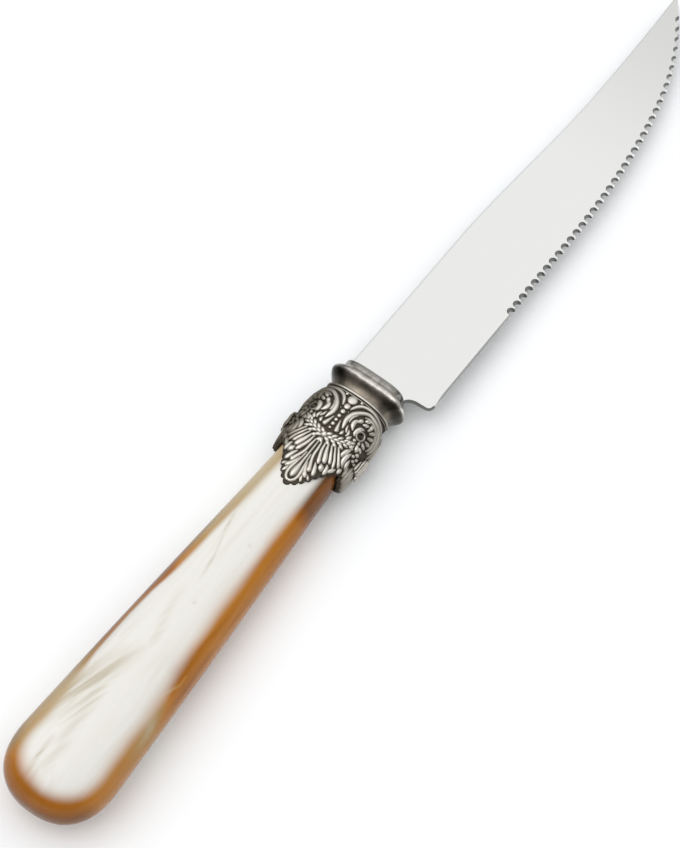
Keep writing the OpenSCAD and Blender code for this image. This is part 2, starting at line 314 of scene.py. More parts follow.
# The notches are U-shaped, and the wheel bites less deep towards the tip
teeth_x, tooth_pitch = 29.0, 2.03
notch_r, notch_mouth, notch_depth = 0.7, 0.74, 1.15
shallow_by, shallow_from = 0.5, 72.0
tooth_n = math.floor((blade_l - plain_tip_l - teeth_x) / tooth_pitch) + 1
notch_x = [teeth_x + i * tooth_pitch for i in range(tooth_n)]
bites = [notch_depth - shallow_by * float(ease((x - shallow_from) / (blade_l - shallow_from)))
         for x in notch_x]
notch_centres = mesh_piece(
    "notch_centres", [[x, edge_y(x) + bite - notch_r, 0] for x, bite in zip(notch_x, bites)], [])

# The wheel is leant and tapered, so that the inner wall of each notch slopes towards the tip
wheel_half_l, wheel_taper = 0.75, 0.3
wheel_lean_x, wheel_lean_y = 0.6, 0.8
wheel_n = 32
wheel = []
for z in (-wheel_half_l, wheel_half_l):
    grown = wheel_taper * z
    for a in round_turns(wheel_n):
        inner_half = math.sin(a) > -1e-9
        r = (notch_r if inner_half else notch_mouth) + grown
        drop = 0 if inner_half else notch_depth
        wheel.append([(r * math.cos(a) + grown * wheel_lean_x) * MM,
                      (r * math.sin(a) - drop + grown * wheel_lean_y) * MM, z * MM])
wheel_mesh = bpy.data.meshes.new("grinding_wheel")
wheel_mesh.from_pydata(wheel, [], [
    [i, (i + 1) % wheel_n, wheel_n + (i + 1) % wheel_n, wheel_n + i] for i in range(wheel_n)]
    + [list(range(wheel_n))[::-1], [wheel_n + i for i in range(wheel_n)]])
grinding_wheel = bpy.data.objects.new("grinding_wheel", wheel_mesh)


def node_tree_with(name, sockets):
    """A Geometry Nodes tree with these named inputs, and its input and output nodes."""
    tree = bpy.data.node_groups.new(name, "GeometryNodeTree")
    tree.interface.new_socket("Geometry", in_out="OUTPUT", socket_type="NodeSocketGeometry")
    tree.interface.new_socket("Geometry", in_out="INPUT", socket_type="NodeSocketGeometry")
    for label, kind in sockets.items():
        tree.interface.new_socket(label, in_out="INPUT", socket_type="NodeSocket" + kind)
    return tree, tree.nodes.new("NodeGroupInput"), tree.nodes.new("NodeGroupOutput")


def grow(piece, tree, values):
    """Runs the tree on the piece with these input values and keeps the result as a plain mesh."""
    modifier = piece.modifiers.new(tree.name, "NODES")
    modifier.node_group = tree
    for item in tree.interface.items_tree:
        if item.in_out == "INPUT" and item.name in values:
            modifier[item.identifier] = values[item.name]
    depsgraph = bpy.context.evaluated_depsgraph_get()
    grown = bpy.data.meshes.new_from_object(
        piece.evaluated_get(depsgraph), preserve_all_data_layers=True, depsgraph=depsgraph)
    piece.modifiers.remove(modifier)
    piece.data = grown
    return piece


serration, given, result = node_tree_with("serration", {
    "Notch centres": "Object", "Grinding wheel": "Object", "Ground": "Material"})
centres = add_node(serration, "GeometryNodeObjectInfo", given.outputs["Notch centres"])
cutter = add_node(serration, "GeometryNodeObjectInfo", given.outputs["Grinding wheel"])
placed = add_node(serration, "GeometryNodeInstanceOnPoints",
                  Points=centres.outputs["Geometry"], Instance=cutter.outputs["Geometry"])
row = add_node(serration, "GeometryNodeRealizeInstances", placed.outputs[0])
row_steel = add_node(serration, "GeometryNodeSetMaterial", row.outputs[0], Material=given.outputs["Ground"])
cut = add_node(serration, "GeometryNodeMeshBoolean", given.outputs["Geometry"], row_steel.outputs[0],
               solver="EXACT", operation="DIFFERENCE")
serration.links.new(cut.outputs[0], result.inputs[0])
grow(blade, serration, {"Notch centres": notch_centres, "Grinding wheel": grinding_wheel,
                        "Ground": ground_steel_with_painted_shade})
bpy.data.objects.remove(notch_centres)
bpy.data.objects.remove(grinding_wheel)
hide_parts("blade")
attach(blade, "root")

# Bolster: one smooth casting in dark antique pewter plate, with a flat cap that the blade's
# shoulder sits on, a rounded rim and a waist. Its spigot centres the ferrule behind it.
bolster_l = 5.9
spigot_l = 2.1
cap_w, cap_t, cap_l, cap_round, cap_square = 14.0, 10.6, 1.3, 0.25, 3.6
rim_w, rim_t, rim_x, rim_square = 17.6, 11.4, 2.5, 2.9
waist_w, waist_t = 13.6, 10.2
core_w, core_t = 12.2, 9.0
grip_square = 2.25
grip_fit = 0.1
slot_w, slot_t = 6.8, 2.0
round_n, cap_n, rim_n, waist_n = 192, 6, 16, 20


def power(v, n):
    return np.sign(v) * np.abs(v) ** (2 / n)


def section(x, w, t, n, turns):
    """One ring of the knife's body, counted from its upper middle towards the spine side."""
    return np.column_stack([np.full(len(turns), x, float),
                            w / 2 * power(np.sin(turns), n), t / 2 * power(np.cos(turns), n)])


def slot_ring(x, w, t, turns):
    """A ring of points on a rectangle, each at its turn from the upper middle."""
    reach = np.minimum(w / 2 / np.maximum(np.abs(np.sin(turns)), 1e-9),
                       t / 2 / np.maximum(np.abs(np.cos(turns)), 1e-9))
    return np.column_stack([np.full(len(turns), x, float), reach * np.sin(turns), reach * np.cos(turns)])


def loft(name, rings, through=False):
    """A closed piece through rings that run towards the butt; through joins the last to the first."""
    count, last = len(rings[0]), len(rings) - 1
    faces = []
    for r in range(last + 1 if through else last):
        for i in range(count):
            a, b, j = r * count, (r + 1) % (last + 1) * count, (i + 1) % count
            faces.append([a + i, a + j, b + j, b + i])
    if not through:
        faces.append(list(range(count))[::-1])
        faces.append([last * count + i for i in range(count)])
    return mesh_piece(name, np.vstack(rings), faces)


def blended(first, last, share):
    """Sizes that go from the first ones to the last ones by this share."""
    return [a + (b - a) * share for a, b in zip(first, last)]


turns = round_turns(round_n)
cap, rim, waist = (cap_w, cap_t, cap_square), (rim_w, rim_t, rim_square), (waist_w, waist_t, grip_square)
rings = []
for a in np.linspace(0, math.pi / 2, cap_n):
    shrink = 2 * cap_round * (1 - math.sin(a))
    rings.append(section(-cap_round * (1 - math.cos(a)), cap_w - shrink, cap_t - shrink, cap_square, turns))
rings.append(section(-cap_l, *cap, turns))
for u in np.linspace(0, 1, rim_n)[1:]:
    x = -(cap_l + (rim_x - cap_l) * u)
    rings.append(section(x, *blended(cap, rim, math.sin(u * math.pi / 2)), turns))
for u in np.linspace(0, 1, waist_n)[1:]:
    x = -(rim_x + (bolster_l - rim_x) * u)
    rings.append(section(x, *blended(rim, waist, float(ease(u))), turns))
for x in (-bolster_l, -(bolster_l + spigot_l)):
    rings.append(section(x, core_w - 2 * grip_fit, core_t - 2 * grip_fit, grip_square, turns))
rings.append(slot_ring(-(bolster_l + spigot_l), slot_w, slot_t, turns))
rings.append(slot_ring(0, slot_w, slot_t, turns))
bolster = loft("bolster_casting", rings, through=True)
flat_from = 0.98
for polygon in bolster.data.polygons:
    polygon.use_smooth = abs(polygon.normal.x) <= flat_from


def maths(tree, operation, *values):
    """One calculation with sockets or numbers."""
    return add_node(tree, "ShaderNodeMath", *values, operation=operation).outputs[0]


def dimmed(tree, colour, share):
    """The colour at this share of its brightness."""
    return add_node(tree, "ShaderNodeVectorMath", operation="SCALE", Vector=colour, Scale=share).outputs[0]


antique_plate, plate = material_with("antique_plate", Metallic=1.0, Roughness=0.24)
cloud = noise_on(plate, Scale=420.0, Detail=5.0)
drift = mapped(plate, cloud, (0, 1), (-0.0005, 0.0005))
along = mapped(plate, maths(plate, "ADD", own_place(plate, "X"), drift),
               ((face_x - bolster_l) * MM, face_x * MM), (0, 1))
# The rim is rubbed bright and the waist keeps its dark patina, with painted light on them: a painted
# highlight along the rim's crest, painted shade deepening the waist, a painted reflection at the back of the
# waist and a painted dark line just behind the cap's front edge. The cap is half bright
rubbed_and_painted_light = [(0.0, (0.26, 0.23, 0.19)), (0.153, (0.16, 0.14, 0.112)), (0.25, (0.065, 0.057, 0.046)),
          (0.34, (0.03, 0.026, 0.021)), (0.45, (0.036, 0.031, 0.025)), (0.51, (0.12, 0.11, 0.098)),
          (0.545, (0.42, 0.395, 0.36)), (0.575, (0.74, 0.71, 0.66)), (0.62, (0.6, 0.57, 0.53)),
          (0.68, (0.44, 0.42, 0.385)), (0.76, (0.36, 0.342, 0.312)), (0.84, (0.31, 0.295, 0.272)),
          (0.92, (0.2, 0.192, 0.178)), (1.0, (0.26, 0.25, 0.23))]
# Painted shade darkens the spine side of the rim and waist
spine_shade_from, spine_shade_to, spine_shade_tone = 2.2, 6, 0.42
spine_side = mapped(plate, own_place(plate, "Y"),
                    ((axis_y + spine_shade_from) * MM, (axis_y + spine_shade_to) * MM), (0, 1), soft=True)
behind_cap = mapped(plate, along, (0.74, 0.62), (0, 1), soft=True)
painted_spine_shade = mapped(plate, maths(plate, "MULTIPLY", spine_side, behind_cap), (0, 1), (1.0, spine_shade_tone))
blotch = mapped(plate, noise_on(plate, Scale=650.0, Detail=3.0), (0.3, 0.7), (0.7, 1.3))
# Random blotches, times the painted shade of the spine side
mottle_and_spine_shade = maths(plate, "MULTIPLY", painted_spine_shade, blotch)
finish_with(plate, Base_Color=dimmed(plate, stops(plate, along, rubbed_and_painted_light), mottle_and_spine_shade),
            Roughness=mapped(plate, cloud, (0, 1), (0.3, 0.18)))
bolster.data.materials.append(antique_plate)
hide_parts("bolster")
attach(bolster, "root")

# Ferrule: a thin shell cast in antique silver, dark in its hollows and bright on its relief.
# It holds the front of the grip, and its lip runs out into two large leaves and two side leaves.
ferrule_l = 24.3
ring_w, ring_t = 14.1, 10.6
shell_w, shell_t = 16.6, 12.2
swell_shares = [(0, 0), (0.05, 0.06), (0.1, 0.42), (0.16, 0.74), (0.24, 0.94), (0.33, 1),
                (0.47, 0.98), (0.6, 0.84), (0.8, 0.6), (1, 0.52)]
relief_h = 0.42
# Painted shade on the relief of the spine side and of the edge side: the share of its brightness that it
# loses there, and where across the half width that begins and how far it takes
spine_painted_shade, spine_from, spine_over = 0.75, 0.42, 0.45
edge_painted_shade, edge_from, edge_over = 0.25, 0.68, 0.3
eye_p, eye_q, eye_r, eye_depth = 6.9, 5.8, 0.7, 0.55
# Round scallops that make up the lip of one quarter, from a large leaf's tip to a side leaf's:
# place behind the mouth, distance round the shell from the large leaf's middle line, radius
lip_scallops = [(23.25, 0, 1.05), (22.75, 1.4, 0.72), (21.75, 2.4, 0.66), (20.55, 3.3, 0.66),
                (19.2, 4.1, 0.66), (17.95, 4.9, 0.7), (16.7, 5.9, 0.7), (15.75, 7.0, 0.7),
                (15.1, 8.1, 0.72), (15.9, 9.3, 0.74), (16.5, 10.4, 0.74), (16.9, 11.46, 0.8)]
lip_round = 0.45
lip_drop = 0.22
# Sizes of the grip, which the inner wall of the shell follows
grip_front, lip_x, butt_start = -(bolster_l + spigot_l), -(bolster_l + ferrule_l), -99.4
neck_w, neck_t = 14.5, 11.2
butt_w, butt_t = 22.8, 15.6
grip_bow = 0.3

# Distances round the shell are measured a little inside its widest ring
measure_in = 0.2
quarter_turns = np.linspace(0, math.pi / 2, 200)
quarter = section(0, shell_w - measure_in, shell_t - measure_in, grip_square, quarter_turns)
quarter_q = np.concatenate([[0], np.cumsum(np.linalg.norm(np.diff(quarter, axis=0), axis=1))])
side_q = quarter_q[-1]


def swell(p):
    share = np.asarray(p, float) / ferrule_l
    return np.interp(share, [s for s, _ in swell_shares], [v for _, v in swell_shares])


def shell_size(p):
    """Width and thickness of the plain shell at p behind the mouth."""
    return ring_w + (shell_w - ring_w) * swell(p), ring_t + (shell_t - ring_t) * swell(p)


def on_shell(p, q, side=1):
    """Point of the plain shell at p behind the mouth and q round from a large leaf's middle."""
    p, q = np.broadcast_arrays(np.asarray(p, float), np.asarray(q, float))
    turn = np.interp(np.abs(q), quarter_q, quarter_turns)
    w, t = shell_size(p)
    y = np.sign(q) * w / 2 * power(np.sin(turn), grip_square)
    z = t / 2 * power(np.cos(turn), grip_square)
    return np.stack([-bolster_l - p, y, side * z], -1)


def off_shell(p, q, side=1):
    """Outward direction of the shell there."""
    step = 0.02
    q = np.clip(q, -side_q + step, side_q - step)
    along = on_shell(np.asarray(p) + step, q, side) - on_shell(np.asarray(p) - step, q, side)
    round_ = on_shell(p, q + step, side) - on_shell(p, q - step, side)
    out = np.cross(round_, along) * side
    return out / np.linalg.norm(out, axis=-1)[..., None]


def folded(turns):
    """Each turn counted from the middle of the nearer large leaf."""
    return np.abs((turns + math.pi / 2) % math.pi - math.pi / 2)


def grip_size(x):
    """Width and thickness of the grip under the ferrule and behind it."""
    under = np.maximum((x - lip_x) / (grip_front - lip_x), 0)
    behind = np.clip((lip_x - x) / (lip_x - butt_start), 0, 1)
    bow = grip_bow * np.sin(math.pi * behind)
    return (neck_w + (core_w - neck_w) * under + (butt_w - neck_w) * behind + bow,
            neck_t + (core_t - neck_t) * under + (butt_t - neck_t) * behind + bow)


shell_rows, shell_n = 150, 384
shell_turns = round_turns(shell_n)
shell_q = np.interp(folded(shell_turns), quarter_turns, quarter_q)
out_of_reach = 9
lip_p = np.max([p + np.sqrt(np.maximum(r ** 2 - (shell_q - q) ** 2, 0))
                - out_of_reach * (np.abs(shell_q - q) >= r) for p, q, r in lip_scallops], axis=0)
rings = []
for s in np.linspace(0, 1, shell_rows):
    p = lip_p * s
    ring = section(-bolster_l - p, *shell_size(p), grip_square, shell_turns)
    pit = np.clip(1 - np.hypot(p - eye_p, shell_q - eye_q) / eye_r, 0, 1)
    sunk = eye_depth * ease(2 * pit) + lip_drop * (1 - ease((lip_p - p) / lip_round))
    ring[:, 1:] *= (1 - sunk / np.linalg.norm(ring[:, 1:], axis=1))[:, None]
    rings.append(ring)
for s in (1, 0.5, 0):
    x = -bolster_l - lip_p * s
    w, t = grip_size(x)
    rings.append(section(x, w + grip_fit, t + grip_fit, grip_square, shell_turns))
ferrule = loft("ferrule_shell", rings, through=True)


def stored_value(tree, name):
    """The number that the mesh stores on each point under this name."""
    return add_node(tree, "ShaderNodeAttribute", attribute_name=name).outputs["Fac"]


antique_silver, silver = material_with("antique_silver", Metallic=1.0, Roughness=0.35)
stain = mapped(silver, noise_on(silver, Scale=700.0, Detail=4.0), (0, 1), (-0.2, 0.2))
# The stored relief also holds the painted shade of the narrow sides
height = maths(silver, "ADD", stored_value(silver, "relief"), stain)
tarnish = [(0.04, (0.066, 0.056, 0.042)), (0.36, (0.2, 0.178, 0.141)), (0.7, (0.4, 0.375, 0.325)),
           (1.0, (0.66, 0.63, 0.57))]
finish_with(silver, Base_Color=stops(silver, height, tarnish),
            Roughness=mapped(silver, height, (0, 1), (0.5, 0.3)))


def store(piece, name, values):
    """Writes one number or vector for each point of the piece under this name."""
    values = np.asarray(values, np.float32)
    kind, field = ("FLOAT_VECTOR", "vector") if values.ndim == 2 else ("FLOAT", "value")
    piece.data.attributes.new(name, kind, "POINT").data.foreach_set(field, values.ravel())


def store_relief(piece):
    """Keeps each point's height over the plain shell, as a share of the relief's full height. On the narrow
    sides the height counts as lower, which darkens them with painted shade, more on the spine side."""
    co = np.empty(len(piece.data.vertices) * 3, np.float32)
    piece.data.vertices.foreach_get("co", co)
    at = co.reshape(-1, 3) / MM - knife_origin
    w, t = shell_size(np.clip(-bolster_l - at[:, 0], 0, ferrule_l))
    across = at[:, 1] * 2 / w
    share = (np.abs(across) ** grip_square + np.abs(at[:, 2] * 2 / t) ** grip_square) ** (1 / grip_square)
    r = np.linalg.norm(at[:, 1:], axis=1)
    height = (r - r / np.maximum(share, 0.05)) / relief_h
    relief_side_shade = np.where(across > 0, spine_painted_shade * ease((across - spine_from) / spine_over),
                      edge_painted_shade * ease((-across - edge_from) / edge_over))
    store(piece, "relief", np.clip(height, -0.5, 1.1) - relief_side_shade * np.clip(height, 0, 1))


def point_value(tree, name, kind):
    """The number or vector that each point of the geometry carries under this name."""
    return add_node(tree, "GeometryNodeInputNamedAttribute", data_type=kind, Name=name).outputs[0]


def cast_result(tree, given, result, form):
    """Ends the tree with real, smooth faces in the given material."""
    smooth = add_node(tree, "GeometryNodeSetShadeSmooth", form)
    real = add_node(tree, "GeometryNodeRealizeInstances", smooth.outputs[0])
    coated = add_node(tree, "GeometryNodeSetMaterial", real.outputs[0], Material=given.outputs["Material"])
    tree.links.new(coated.outputs[0], result.inputs[0])


raised_bands, given, result = node_tree_with("raised_bands", {
    "Flatness": "Float", "Sides": "Int", "Material": "Material"})
lines = add_node(raised_bands, "GeometryNodeMeshToCurve", given.outputs["Geometry"])
facing = add_node(raised_bands, "GeometryNodeSetCurveNormal", mode="FREE", Curve=lines.outputs[0],
                  Normal=point_value(raised_bands, "outward", "FLOAT_VECTOR"))
profile = add_node(raised_bands, "GeometryNodeCurvePrimitiveCircle", mode="RADIUS", Radius=1.0,
                   Resolution=given.outputs["Sides"])
squash = add_node(raised_bands, "ShaderNodeCombineXYZ", 1.0, given.outputs["Flatness"], 1.0)
flat_profile = add_node(raised_bands, "GeometryNodeTransform",
                        Geometry=profile.outputs[0], Scale=squash.outputs[0])
swept = add_node(raised_bands, "GeometryNodeCurveToMesh", Curve=facing.outputs[0],
                 Profile_Curve=flat_profile.outputs[0], Fill_Caps=True,
                 Scale=point_value(raised_bands, "half_width", "FLOAT"))
cast_result(raised_bands, given, result, swept.outputs[0])


def cast_on_shell(name, points, edges, tree, inputs, **by_point):
    """A piece of the relief, which the tree grows from points that carry these values."""
    piece = mesh_piece(name, points, [], edges=edges)
    for label, values in by_point.items():
        store(piece, label, values)
    grow(piece, tree, {**inputs, "Material": antique_silver})
    store_relief(piece)
    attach(piece, "root")
    return piece


crest_low, crest_gain, crest_most = 0.17, 0.42, 0.45
band_flatness, band_fullness, band_least = 0.62, 1.55, 0.02
pad_height, pad_margin, pad_fullness = 0.16, 0.2, 1.8


def band_lift(half_width):
    """Height of a band's middle over the shell: broad bands stand taller, but sit deeper."""
    return crest_low + crest_gain * np.minimum(half_width, crest_most) - band_flatness * half_width


def bands_piece(name, strokes, sides=12, steps=6, raise_by=0.0, padded=True):
    """Raised bands on the shell, mirrored to all four quarters. A stroke's points are
    (p, q, half width): behind the mouth and round from the large leaf's middle line.
    A padded band rises from a low broad pad."""
    points, outs, widths, edges = [], [], [], []
    for stroke in strokes:
        line = np.array(smooth_line(stroke, steps))
        p, q = line[:, 0], line[:, 1]
        for side in (1, -1):
            for hand in (1, -1):
                if hand < 0 and np.abs(q).max() < 1e-6:
                    continue
                out = off_shell(p, q * hand, side)
                half = np.maximum(line[:, 2], band_least) * band_fullness
                layers = [(half, band_lift(half) + raise_by)]
                if padded:
                    pad = half * pad_fullness + pad_margin
                    layers.append((pad, pad_height + raise_by - band_flatness * pad))
                for reach, lift in layers:
                    start = len(points)
                    points += list(on_shell(p, q * hand, side) + out * lift[:, None])
                    outs += list(out)
                    widths += list(reach * MM)
                    edges += [(i, i + 1) for i in range(start, start + len(line) - 1)]
    cast_on_shell(name, points, edges, raised_bands, {"Flatness": band_flatness, "Sides": sides},
                  outward=outs, half_width=widths)


store_relief(ferrule)
ferrule.data.materials.append(antique_silver)
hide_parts("ferrule")
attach(ferrule, "root")

# Mouth rings of the ferrule, cast with its shell: a bright bead where it meets the bolster's
# waist, and a fine line behind it.
mouth_hoops = [(0.24, 0.3), (0.82, 0.14)]
hoop_flatness, hoop_n = 0.9, 288
whole = round_turns(hoop_n)
hoop_q = np.interp(folded(whole), quarter_turns, quarter_q) * np.sign(np.sin(whole) + 1e-12)
upper = np.where(np.cos(whole) >= 0, 1, -1)
points, outs, widths, edges = [], [], [], []
for p, half_width in mouth_hoops:
    start = len(points)
    for q, side in zip(hoop_q, upper):
        out = off_shell(p, q, side)
        points.append(on_shell(p, q, side) + out * band_lift(half_width))
        outs.append(out)
        widths.append(half_width * MM)
    edges += [(start + i, start + (i + 1) % hoop_n) for i in range(hoop_n)]
cast_on_shell("ferrule_mouth_rings", points, edges, raised_bands, {"Flatness": hoop_flatness, "Sides": 14},
              outward=outs, half_width=widths)

# Scrolls of the ferrule, cast with its shell. Two fine bands and a crescent run from the pearls
# round each eye to the side, with acanthus lobes and small leaf tufts between them.
outer_band = [(3.9, 0.95, 0.08), (3.2, 1.25, 0.2), (2.4, 1.75, 0.24), (1.75, 2.55, 0.24), (1.4, 3.5, 0.22),
              (1.2, 4.8, 0.22), (1.3, 6.2, 0.22), (1.75, 7.7, 0.22), (2.6, 9.0, 0.22), (3.9, 10.1, 0.22),
              (5.6, 10.8, 0.22), (7.4, 10.9, 0.2), (9.0, 10.3, 0.08)]
crescent = [(8.1, 2.05, 0.08), (7.3, 1.85, 0.26), (6.3, 1.6, 0.36), (5.3, 1.7, 0.42), (4.3, 2.05, 0.36),
            (3.4, 2.8, 0.3), (2.7, 3.7, 0.28), (2.2, 4.9, 0.28), (2.3, 6.3, 0.28), (2.8, 7.7, 0.28),
            (3.8, 8.9, 0.28), (5.2, 9.7, 0.28), (6.8, 9.95, 0.26), (8.3, 9.5, 0.08)]
crescent_fork = [(6.2, 2.35, 0.06), (5.4, 2.25, 0.18), (4.6, 2.45, 0.14), (3.9, 2.95, 0.06)]
inner_line = [(3.3, 4.3, 0.06), (3.0, 5.2, 0.14), (3.05, 6.3, 0.16), (3.5, 7.5, 0.17), (4.4, 8.5, 0.18),
              (5.7, 9.05, 0.2), (7.2, 9.1, 0.18), (8.3, 8.6, 0.06)]
leaf_over_eye = [(3.9, 4.15, 0.1), (4.35, 4.1, 0.32), (4.85, 3.75, 0.22), (5.15, 3.3, 0.28),
                 (5.75, 3.15, 0.34), (6.4, 3.35, 0.3), (7.1, 3.85, 0.08)]
eye_lid = [(5.5, 5.6, 0.1), (5.8, 4.95, 0.3), (6.5, 4.6, 0.33), (7.25, 4.5, 0.25), (7.8, 4.75, 0.08)]
pearl_wedge = [(6.9, 0.8, 0.06), (7.8, 1.0, 0.16), (8.7, 1.25, 0.3), (9.3, 1.45, 0.34), (9.55, 1.55, 0.18)]
lobes_round_eye = [
    [(3.95, 4.75, 0.08), (3.65, 5.1, 0.28), (3.35, 5.65, 0.24), (3.15, 6.0, 0.08)],
    [(4.75, 4.7, 0.08), (4.6, 5.1, 0.24), (4.35, 5.6, 0.26), (4.1, 6.0, 0.08)],
    [(3.4, 6.4, 0.08), (3.75, 6.65, 0.28), (4.4, 6.6, 0.24), (5.1, 6.3, 0.08)],
    [(4.1, 8.1, 0.08), (4.45, 7.75, 0.3), (4.85, 7.3, 0.24), (5.3, 6.9, 0.08)],
    [(5.5, 8.5, 0.08), (5.7, 8.05, 0.3), (5.95, 7.5, 0.22), (6.2, 7.1, 0.08)],
    [(7.0, 8.6, 0.08), (7.0, 8.1, 0.3), (6.95, 7.55, 0.22), (6.9, 7.1, 0.08)],
    [(8.3, 8.1, 0.08), (8.1, 7.6, 0.26), (7.8, 7.2, 0.2), (7.6, 6.9, 0.08)],
    [(8.7, 6.5, 0.08), (8.3, 6.45, 0.22), (7.9, 6.3, 0.08)],
    [(8.8, 5.3, 0.08), (8.4, 5.3, 0.26), (8.0, 5.45, 0.08)],
]
leaf_tufts = [
    [(6.9, 2.6, 0.06), (7.6, 2.75, 0.16), (8.3, 3.15, 0.08)],
    [(7.5, 3.3, 0.06), (8.1, 3.55, 0.2), (8.6, 3.6, 0.16), (9.0, 3.4, 0.06)],
    [(8.3, 2.5, 0.06), (8.9, 2.5, 0.24), (9.4, 2.3, 0.08)],
    [(8.2, 4.4, 0.06), (8.8, 4.2, 0.26), (9.3, 3.85, 0.1)],
    [(8.9, 5.1, 0.06), (9.4, 4.85, 0.26), (9.8, 4.55, 0.1)],
    [(9.3, 6.0, 0.06), (9.8, 5.7, 0.24), (10.2, 5.4, 0.08)],
]
bands_piece("ferrule_scrolls", [outer_band, crescent, crescent_fork, inner_line, leaf_over_eye, eye_lid,
                                pearl_wedge] + leaf_tufts)
bands_piece("ferrule_eyes", lobes_round_eye, raise_by=-0.04)
eye_rim_r, eye_rim_half_w, eye_rim_turn = 0.9, 0.28, 6.2
eye_rim = [(eye_p - eye_rim_r * math.cos(t), eye_q + eye_rim_r * math.sin(t), eye_rim_half_w)
           for t in np.linspace(0, eye_rim_turn, 14)]
bands_piece("ferrule_eye_rims", [eye_rim], raise_by=-0.2, padded=False)

# Pearls of the ferrule: a falling row down the middle of each face, a drop bead on each side of
# the largest, and the beaded tassels at the ends of the garland.
beads, given, result = node_tree_with("beads", {"Segments": "Int", "Material": "Material"})
upright = add_node(beads, "FunctionNodeAlignRotationToVector", axis="Z",
                   Vector=point_value(beads, "outward", "FLOAT_VECTOR"))
ball = add_node(beads, "GeometryNodeMeshUVSphere", Segments=given.outputs["Segments"], Rings=14, Radius=1.0)
strung = add_node(beads, "GeometryNodeInstanceOnPoints", Points=given.outputs["Geometry"],
                  Instance=ball.outputs[0], Rotation=upright.outputs[0],
                  Scale=point_value(beads, "size", "FLOAT_VECTOR"))
cast_result(beads, given, result, strung.outputs[0])

bead_lift, bead_h = 0.05, 0.48
# A bead is (p, q, radius)
pearl_row = [(1.8, 0, 1.14), (3.65, 0, 0.76), (5.05, 0, 0.6), (6.25, 0, 0.5), (7.3, 0, 0.47), (8.35, 0, 0.5),
             (9.35, 0, 0.38)]
drop_beads = [(1.15, 2.05, 0.4), (4.5, 0.95, 0.2), (10.2, 7.7, 0.5), (10.95, 7.15, 0.42), (11.0, 8.3, 0.46),
              (11.7, 7.8, 0.42), (11.9, 8.6, 0.42)]
points, outs, sizes = [], [], []
for p, q, r in pearl_row + drop_beads:
    for side in (1, -1):
        for hand in (1, -1) if q else (1,):
            out = off_shell(p, q * hand, side)
            points.append(on_shell(p, q * hand, side) + out * bead_lift)
            outs.append(out)
            sizes.append([r * MM, r * MM, min(r, bead_h) * MM])
pearls = cast_on_shell("ferrule_pearls", points, (), beads, {"Segments": 24}, outward=outs, size=sizes)
# The tree leaves an empty material slot before the silver
pearls.data.materials.pop(index=0)

# Garland of the ferrule: overlapping laurel leaflets in three rows and a short fourth, which hang
# from eye to eye across each face, with a tassel at each end.
garland_line = np.array(smooth_line([(11.2, -0.9), (11.25, 0), (11.1, 1.2), (10.7, 2.6), (10.15, 4.0),
                                     (9.7, 5.2), (9.35, 6.2)], 8))
leaflet = [(-0.5, 0.05), (-0.25, 0.21), (0.05, 0.28), (0.32, 0.19), (0.5, 0.04)]
leaflet_l = 1.5
row_gap, look_ahead, garland_taper = 1.25, 0.2, 0.3
# A row is (distance from the line, turn of its leaflets, start, distance left bare at the end)
leaflet_rows = [(-0.62, 0.42, 1.75, 0.1), (0.05, 0.1, 2.35, 0.1), (0.72, -0.4, 1.75, 0.1),
                (1.42, -0.75, 0.95, 2.4)]
leaflets = [[(10.5, 0, 0.08), (10.85, 0, 0.42), (11.25, 0, 0.5), (11.65, 0, 0.36), (11.95, 0, 0.08)]]
steps = np.linalg.norm(np.diff(garland_line, axis=0), axis=1)
reach = np.concatenate([[0], np.cumsum(steps)])


def on_garland(at):
    return np.array([np.interp(at, reach, garland_line[:, k]) for k in (0, 1)])


for row_place, turn, first, last in leaflet_rows:
    for at in np.arange(first, reach[-1] - last, row_gap):
        here = on_garland(at)
        ahead = on_garland(at + look_ahead) - here
        ahead /= np.linalg.norm(ahead)
        small = 1 - garland_taper * at / reach[-1]
        here = here + np.array([-ahead[1], ahead[0]]) * -row_place * small
        heading = math.atan2(ahead[1], ahead[0]) + turn
        step = np.array([math.cos(heading), math.sin(heading)]) * leaflet_l * small
        leaflets.append([(*(here + step * share), half * small) for share, half in leaflet])
tassels = [
    [(8.7, 6.35, 0.08), (9.15, 6.65, 0.28), (9.65, 6.85, 0.26), (10.1, 7.0, 0.08)],
    [(8.75, 7.05, 0.08), (9.1, 7.45, 0.26), (9.4, 7.95, 0.1)],
]
bands_piece("ferrule_garland", leaflets + tassels, sides=10, steps=3, raise_by=0.03)

